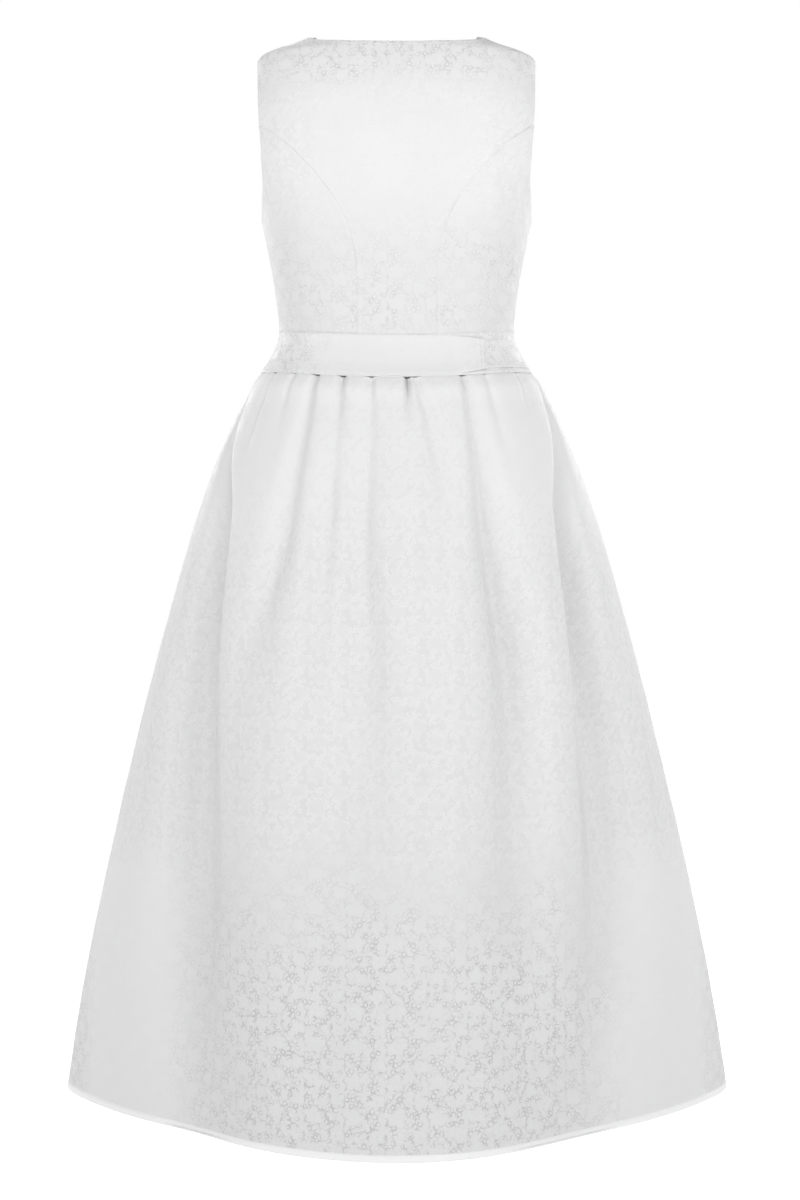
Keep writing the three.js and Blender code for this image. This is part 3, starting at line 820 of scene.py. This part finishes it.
def make_band(name, start, end, seed, shift):
    turn, level = strip_places(start, end, BAND_BOTTOM, WAIST_SEAM)
    points = body_point(turn, level)
    relief = swell(edge_relief(points, (SEAM,) * 4), points, BAND_SWELLS, seed)
    outer = points + relief[..., None] * body_normal(turn, level)
    piece = make_cloth(name, outer, BAND_CLOTH, strip_chart(points, shift))
    finish_piece(piece, jacquard, "white_jacquard", name)
    width, length, area = cut_of(outer)


make_band("band_back", 0, 180, seed=23, shift=(0, 11))
make_band("band_front_right", 180, 270, seed=29, shift=(30, 40))
make_band("band_front_left", 270, 360, seed=31, shift=(50, 27))

# The back belt, two flat straps of folded jacquard, sewn into the side seams and drawn together over the
# waistband. The long one crosses the back and laps over the short one, and its end is folded in and stitched
# down twice.
BELT_CLOTH = 0.9
BELT_SWELLS = [(0.25, 45)]
BELT_GAP = 0.15
BELT_WALL = 1.0
LONG_BELT = dict(
    start=4.5,
    end=(131.5, 136.5),
    edges=[(4.5, 0.07, 0.9), (40, 0.04, 0.97), (90, 0.02, 1.0), (115, 0.03, 0.95), (135, 0.12, 0.82)],
    sewn=[3.5, 8.5],
)
SHORT_BELT = dict(start=126, end=(175.5, 175.5), edges=[(126, 0.13, 0.8), (175.5, 0.1, 0.78)], sewn=[])
OVERLAP_STARTS = 116
OVERLAP_FULL = 121.5
SEWN_RIDGE = dict(height=0.9, width=1.0)
END_STITCH_WIDTH = 2.2


def belt_lift(turn, laps):
    """How far a strap lies off the waistband, twice as far where it laps over the other."""
    lift = BELT_GAP + BELT_WALL
    return lift * (1 + laps * smooth((turn - OVERLAP_STARTS) / (OVERLAP_FULL - OVERLAP_STARTS)))


def make_belt(name, belt, laps, seed, shift):
    start, end = belt["start"], belt["end"]
    turn, up = strip_places(start, end[1], 0, 1, step=1.3)
    turn = mix(start, mix(*end, up), (turn - start) / (end[1] - start))
    at, low, high = zip(*belt["edges"])
    share = mix(look_up(at, low, turn), look_up(at, high, turn), up)
    level = mix(BAND_BOTTOM, WAIST_SEAM, share)
    points = body_point(turn, level)
    relief = swell(edge_relief(points, (TURNED,) * 4), points, BELT_SWELLS, seed) + belt_lift(turn, laps)
    run = run_along(points, 1)
    for inset in belt["sewn"]:
        relief += SEWN_RIDGE["height"] * np.exp(-(((run[:, -1:] - run - inset) / SEWN_RIDGE["width"]) ** 2))
    outer = points + relief[..., None] * body_normal(turn, level)
    piece = make_cloth(name, outer, BELT_CLOTH, strip_chart(points, shift))
    finish_piece(piece, jacquard, "white_jacquard", name)
    width, length, area = cut_of(outer)
    return outer


long_belt = make_belt("belt_long", LONG_BELT, laps=1, seed=37, shift=(8, 30))
end_lines = [inset_line(long_belt, 3, inset) for inset in LONG_BELT["sewn"]]
make_stitches("belt_end_stitching", end_lines, END_STITCH_WIDTH)
make_belt("belt_short", SHORT_BELT, laps=0, seed=41, shift=(44, 2))

# The skirt, a full back and a full front panel of jacquard gathered into the waistband. Pinched under the
# band, the gathers open into long folds that lap away from the middle and die out towards the hem.
SKIRT_CLOTH = 0.8
SKIRT_SWELLS = [(1.6, 150), (0.5, 48)]
SKIRT_SEED = 43
SKIRT_COLUMNS = 221
SKIRT_ROWS = 196
ROWS_GATHER = 1.35
BINDING_HEIGHT = 8
TUCK = dict(depth=0.7, height=3)
PUFF = dict(height=2.6, below=15, width=12)
SWELLS_BEGIN_OVER = 60

# Each fold's turn, depth and half width at each of the fold levels, from the waistband down to the hem.
FOLD_LEVELS = [-389, -460, -560, -720, -960, -1243]
FOLDS = [
    ([2, 14, 30, 35, 44.5, 55], [3, 12, 28, 39, 44, 18], [8, 12, 20, 30, 46, 66]),
    ([28, 32, 38, 46, 56, 64], [5, 3, 0, 0, 0, 0], [5, 10, 20, 30, 40, 50]),
    ([43, 46, 50, 54, 60, 66], [3, 1, 0, 0, 0, 0], [4.5, 10, 20, 30, 40, 50]),
    ([55.5, 58, 58.5, 54, 52, 52], [8, 9, 12, 6, 2, 0], [4.5, 9, 15, 30, 50, 60]),
    ([68, 70, 71, 71.5, 72, 73], [9, 3, 9, 7, 2, 0], [4, 9, 14, 24, 40, 50]),
    ([80, 81.2, 81, 82.5, 81, 79], [6, 6.5, 13, 20, 13, 4], [4.5, 12, 16, 28, 44, 50]),
    ([94.2, 94.6, 95, 95, 95, 95], [12, 1, 0, 0, 0, 0], [3.2, 6, 18, 26, 40, 50]),
    ([97.5, 102, 104, 103, 102, 101], [5, 6, 3, 0, 0, 0], [4, 10, 18, 30, 40, 50]),
    ([118, 116.5, 116, 118.5, 115.5, 112], [7, 11, 22, 34, 25, 7], [4.5, 10, 18, 27, 44, 60]),
    ([129, 127, 126, 124, 121, 118], [3, 1.5, 0, 0, 0, 0], [4.5, 10, 20, 30, 40, 50]),
    ([150, 143, 137, 132, 128, 124], [3, 1, 0, 0, 0, 0], [5, 11, 20, 30, 40, 50]),
    ([173, 160, 146.5, 143.5, 138.5, 122], [3, 14, 31, 45, 42, 16], [8, 12, 18, 28, 48, 66]),
    ([190, 202, 213, 219, 228, 237], [4, 12, 24, 33, 34, 14], [9, 14, 23, 34, 50, 68]),
    ([208, 212, 217, 223, 230, 236], [8, 3, 0, 0, 0, 0], [5, 11, 20, 30, 40, 50]),
    ([224, 229, 234, 237, 241, 246], [9, 11, 14, 9, 3, 0], [5, 10, 18, 30, 46, 56]),
    ([239, 243, 246, 249, 252, 255], [8, 4, 7, 5, 2, 0], [4.5, 10, 15, 26, 42, 50]),
    ([252, 254, 256, 257, 258, 260], [9, 9, 15, 22, 13, 4], [4.5, 10, 17, 28, 44, 56]),
    ([264, 265, 265.5, 266, 267, 268], [9, 2, 0, 0, 0, 0], [3.5, 8, 17, 28, 44, 56]),
    ([277, 276.5, 276, 276, 275, 275], [7, 6, 4, 1, 0, 0], [4, 10, 18, 30, 40, 50]),
    ([290, 289, 287.5, 289, 287, 285], [10, 12, 20, 29, 18, 5], [4.5, 10, 19, 28, 44, 58]),
    ([304, 301, 298, 295, 293, 291], [8, 3, 0, 0, 0, 0], [5, 11, 20, 30, 40, 50]),
    ([320, 315, 310, 306, 302, 300], [8, 5, 4, 2, 0, 0], [5, 11, 20, 32, 46, 54]),
    ([350, 338, 327, 322, 312, 302], [4, 13, 26, 36, 37, 16], [9, 13, 22, 34, 50, 70]),
]
LAP_SHARE = [0.6, 0.62, 0.7, 0.9, 1.0, 1.0]
FOLD_ROUNDING = 0.25
FOLD_SHARPNESS = 1.4
FOLDS_BEGIN = dict(above=5, over=9)


def fold_depth(turn, level):
    """How deep the folds are. Each wall towards the middle of its panel is steep and the other is gentle."""
    depth = np.zeros_like(turn)
    radius = section("half_width", level)
    for turns, depths, widths in FOLDS:
        centre = look_up(FOLD_LEVELS, turns, level)
        middle = 90 if turns[0] < 180 else 270
        outward = np.where(centre < middle, -1, 1)
        away = ((turn - centre + 180) % 360 - 180) * outward * np.radians(1) * radius
        width = look_up(FOLD_LEVELS, widths, level)
        width = np.where(away < 0, width * look_up(FOLD_LEVELS, LAP_SHARE, level), width)
        pointed = np.hypot(away / width, FOLD_ROUNDING) - FOLD_ROUNDING
        depth += look_up(FOLD_LEVELS, depths, level) * np.exp(-(pointed**FOLD_SHARPNESS))
    return depth * smooth((BAND_BOTTOM - level + FOLDS_BEGIN["above"]) / FOLDS_BEGIN["over"])


def make_skirt(name, start, end, shift):
    columns = np.linspace(start, end, SKIRT_COLUMNS)
    rows = 1 - (1 - np.linspace(0, 1, SKIRT_ROWS)) ** ROWS_GATHER
    turn, level = np.meshgrid(columns, mix(HEM + BINDING_HEIGHT, BAND_BOTTOM, rows))
    points = body_point(turn, level)
    depth = fold_depth(turn, level)
    fall = BAND_BOTTOM - level
    tucked = -TUCK["depth"] * smooth(1 - fall / TUCK["height"])
    puff = PUFF["height"] * np.exp(-(((fall - PUFF["below"]) / PUFF["width"]) ** 2))
    relief = tucked + puff - depth
    relief += smooth(fall / SWELLS_BEGIN_OVER) * swell(0, points, SKIRT_SWELLS, SKIRT_SEED)
    relief += edge_relief(points, (0, 0, SEAM, SEAM))
    outer = points + relief[..., None] * body_normal(turn, level)
    piece = make_cloth(name, outer, SKIRT_CLOTH, strip_chart(outer, shift))
    finish_piece(piece, jacquard, "white_jacquard", name)
    width, length, area = cut_of(outer)


make_skirt("skirt_back", 0, 180, shift=(0, 0))
make_skirt("skirt_front", 180, 360, shift=(33, 12))

# The hem binding, a narrow strip of plain satin-weave cotton in a back and a front length. It is folded over
# the skirt's raw lower edge and stitched down along its top.
BINDING_CLOTH = 2.6
BINDING_WHITE = (0.86, 0.86, 0.865)
BINDING_ROWS = 13
BINDING_ROUNDING = 0.9
BINDING_STITCH_INSET = 1.2
TWILL = dict(thread=0.9, tone=0.02, height=0.03)


def binding_material():
    material, shader = new_material("hem_binding")
    place = cloth_place(shader)
    twill = ((place.part(0) + place.part(1) * 2) * (2 * math.pi / TWILL["thread"])).maths("SINE")
    shade = 0.98 + twill * TWILL["tone"]
    tree = material.node_tree
    tree.links.new(shade.tint(BINDING_WHITE).socket, shader.inputs["Base Color"])
    tree.links.new((0.45 + twill * 0.05).socket, shader.inputs["Roughness"])
    bump = twill.bump(0.5, TWILL["height"] * MM)
    tree.links.new(bump.socket, shader.inputs["Normal"])
    shader.inputs["Sheen Weight"].default_value = 0.1
    return material


satin = binding_material()


def make_binding(name, start, end):
    rows = mix(HEM, HEM + BINDING_HEIGHT, np.linspace(0, 1, BINDING_ROWS))
    turn, level = np.meshgrid(np.linspace(start, end, SKIRT_COLUMNS), rows)
    points = body_point(turn, level)
    up = (level - HEM) / BINDING_HEIGHT
    rounded = BINDING_ROUNDING * np.sqrt(np.clip(1 - (2 * up - 1) ** 2, 0, 1))
    relief = rounded - fold_depth(turn, level)
    relief += swell(0, points, SKIRT_SWELLS, SKIRT_SEED)
    outer = points + relief[..., None] * body_normal(turn, level)
    piece = make_cloth(name, outer, BINDING_CLOTH, strip_chart(outer))
    finish_piece(piece, satin, "hem_binding", name)
    width, length, area = cut_of(outer)
    make_stitches(name + "_stitching", [inset_line(outer, 1, BINDING_STITCH_INSET)])


make_binding("hem_binding_back", 0, 180)
make_binding("hem_binding_front", 180, 360)

# The room, a pale floor half a metre under the hem that glows white far out and dims to a painted shadow
# under the dress, within a white dome that is dimmer overhead. Two soft lamps to the sides and a higher one
# between them light the back, and as many the front.
FLOOR_LEVEL = -1.75
FLOOR_REACH = 30
FLOOR_GLOW_AND_PAINTED_SHADOW = dict(starts=(1.75, 2.3), far=0.72, near=0.1)
FLOOR_GREY = (0.6, 0.6, 0.6, 1)
DOME = dict(dims=(0.29, 0.45), by=-0.8)
LAMPS_AIM_AT = Vector((0, 0, -0.6))

floor = bpy.data.objects.new("floor", bpy.data.meshes.new("floor"))
bpy.context.scene.collection.objects.link(floor)
corners = [(x * FLOOR_REACH, y * FLOOR_REACH, FLOOR_LEVEL) for x, y in ((-1, -1), (1, -1), (1, 1), (-1, 1))]
floor.data.from_pydata(corners, [], [(0, 1, 2, 3)])
floor_material, floor_shader = new_material("floor")
floor_shader.inputs["Base Color"].default_value = FLOOR_GREY
floor_shader.inputs["Roughness"].default_value = 0.9
floor_shader.inputs["Emission Strength"].default_value = 1
spot = Signal(floor_shader.inputs["Roughness"]).make("ShaderNodeTexCoord", {}, {}, 3)
# The floor glows white far out and dimmer near the dress: a painted shadow under the dress.
glow = spot.length().ramp(*FLOOR_GLOW_AND_PAINTED_SHADOW["starts"]) * FLOOR_GLOW_AND_PAINTED_SHADOW["far"] + FLOOR_GLOW_AND_PAINTED_SHADOW["near"]
glow_colour = glow.tint((1, 1, 1))
floor_material.node_tree.links.new(glow_colour.socket, floor_shader.inputs["Emission Color"])
floor.data.materials.append(floor_material)

world = bpy.data.worlds.new("world")
world.use_nodes = True
background = world.node_tree.nodes["Background"]
sky = Signal(background.inputs["Color"]).make("ShaderNodeTexCoord")
dome = sky.part(2).ramp(*DOME["dims"]) * DOME["by"] + 1
world.node_tree.links.new(dome.socket, background.inputs["Strength"])
background.inputs["Color"].default_value = (1, 1, 1, 1)
bpy.context.scene.world = world
bpy.context.scene.view_settings.view_transform = "Standard"


def soft_lamp(name, place, size, power):
    lamp = bpy.data.objects.new(name, bpy.data.lights.new(name, "AREA"))
    bpy.context.scene.collection.objects.link(lamp)
    lamp.data.size = size
    lamp.data.energy = power
    lamp.location = place
    towards = LAMPS_AIM_AT - lamp.location
    lamp.rotation_mode = "QUATERNION"
    lamp.rotation_quaternion = towards.to_track_quat("-Z", "Y")


soft_lamp("back_right_lamp", (-1.8, 2.05, 0.6), size=1.0, power=20.5)
soft_lamp("back_left_lamp", (1.8, 2.05, 0.6), size=1.0, power=19)
soft_lamp("back_top_lamp", (-0.4, 2.2, 1.9), size=0.9, power=14)
soft_lamp("front_right_lamp", (-1.8, -2.05, 0.6), size=1.0, power=19)
soft_lamp("front_left_lamp", (1.8, -2.05, 0.6), size=1.0, power=19)
soft_lamp("front_top_lamp", (0.4, -2.2, 1.9), size=0.9, power=14)
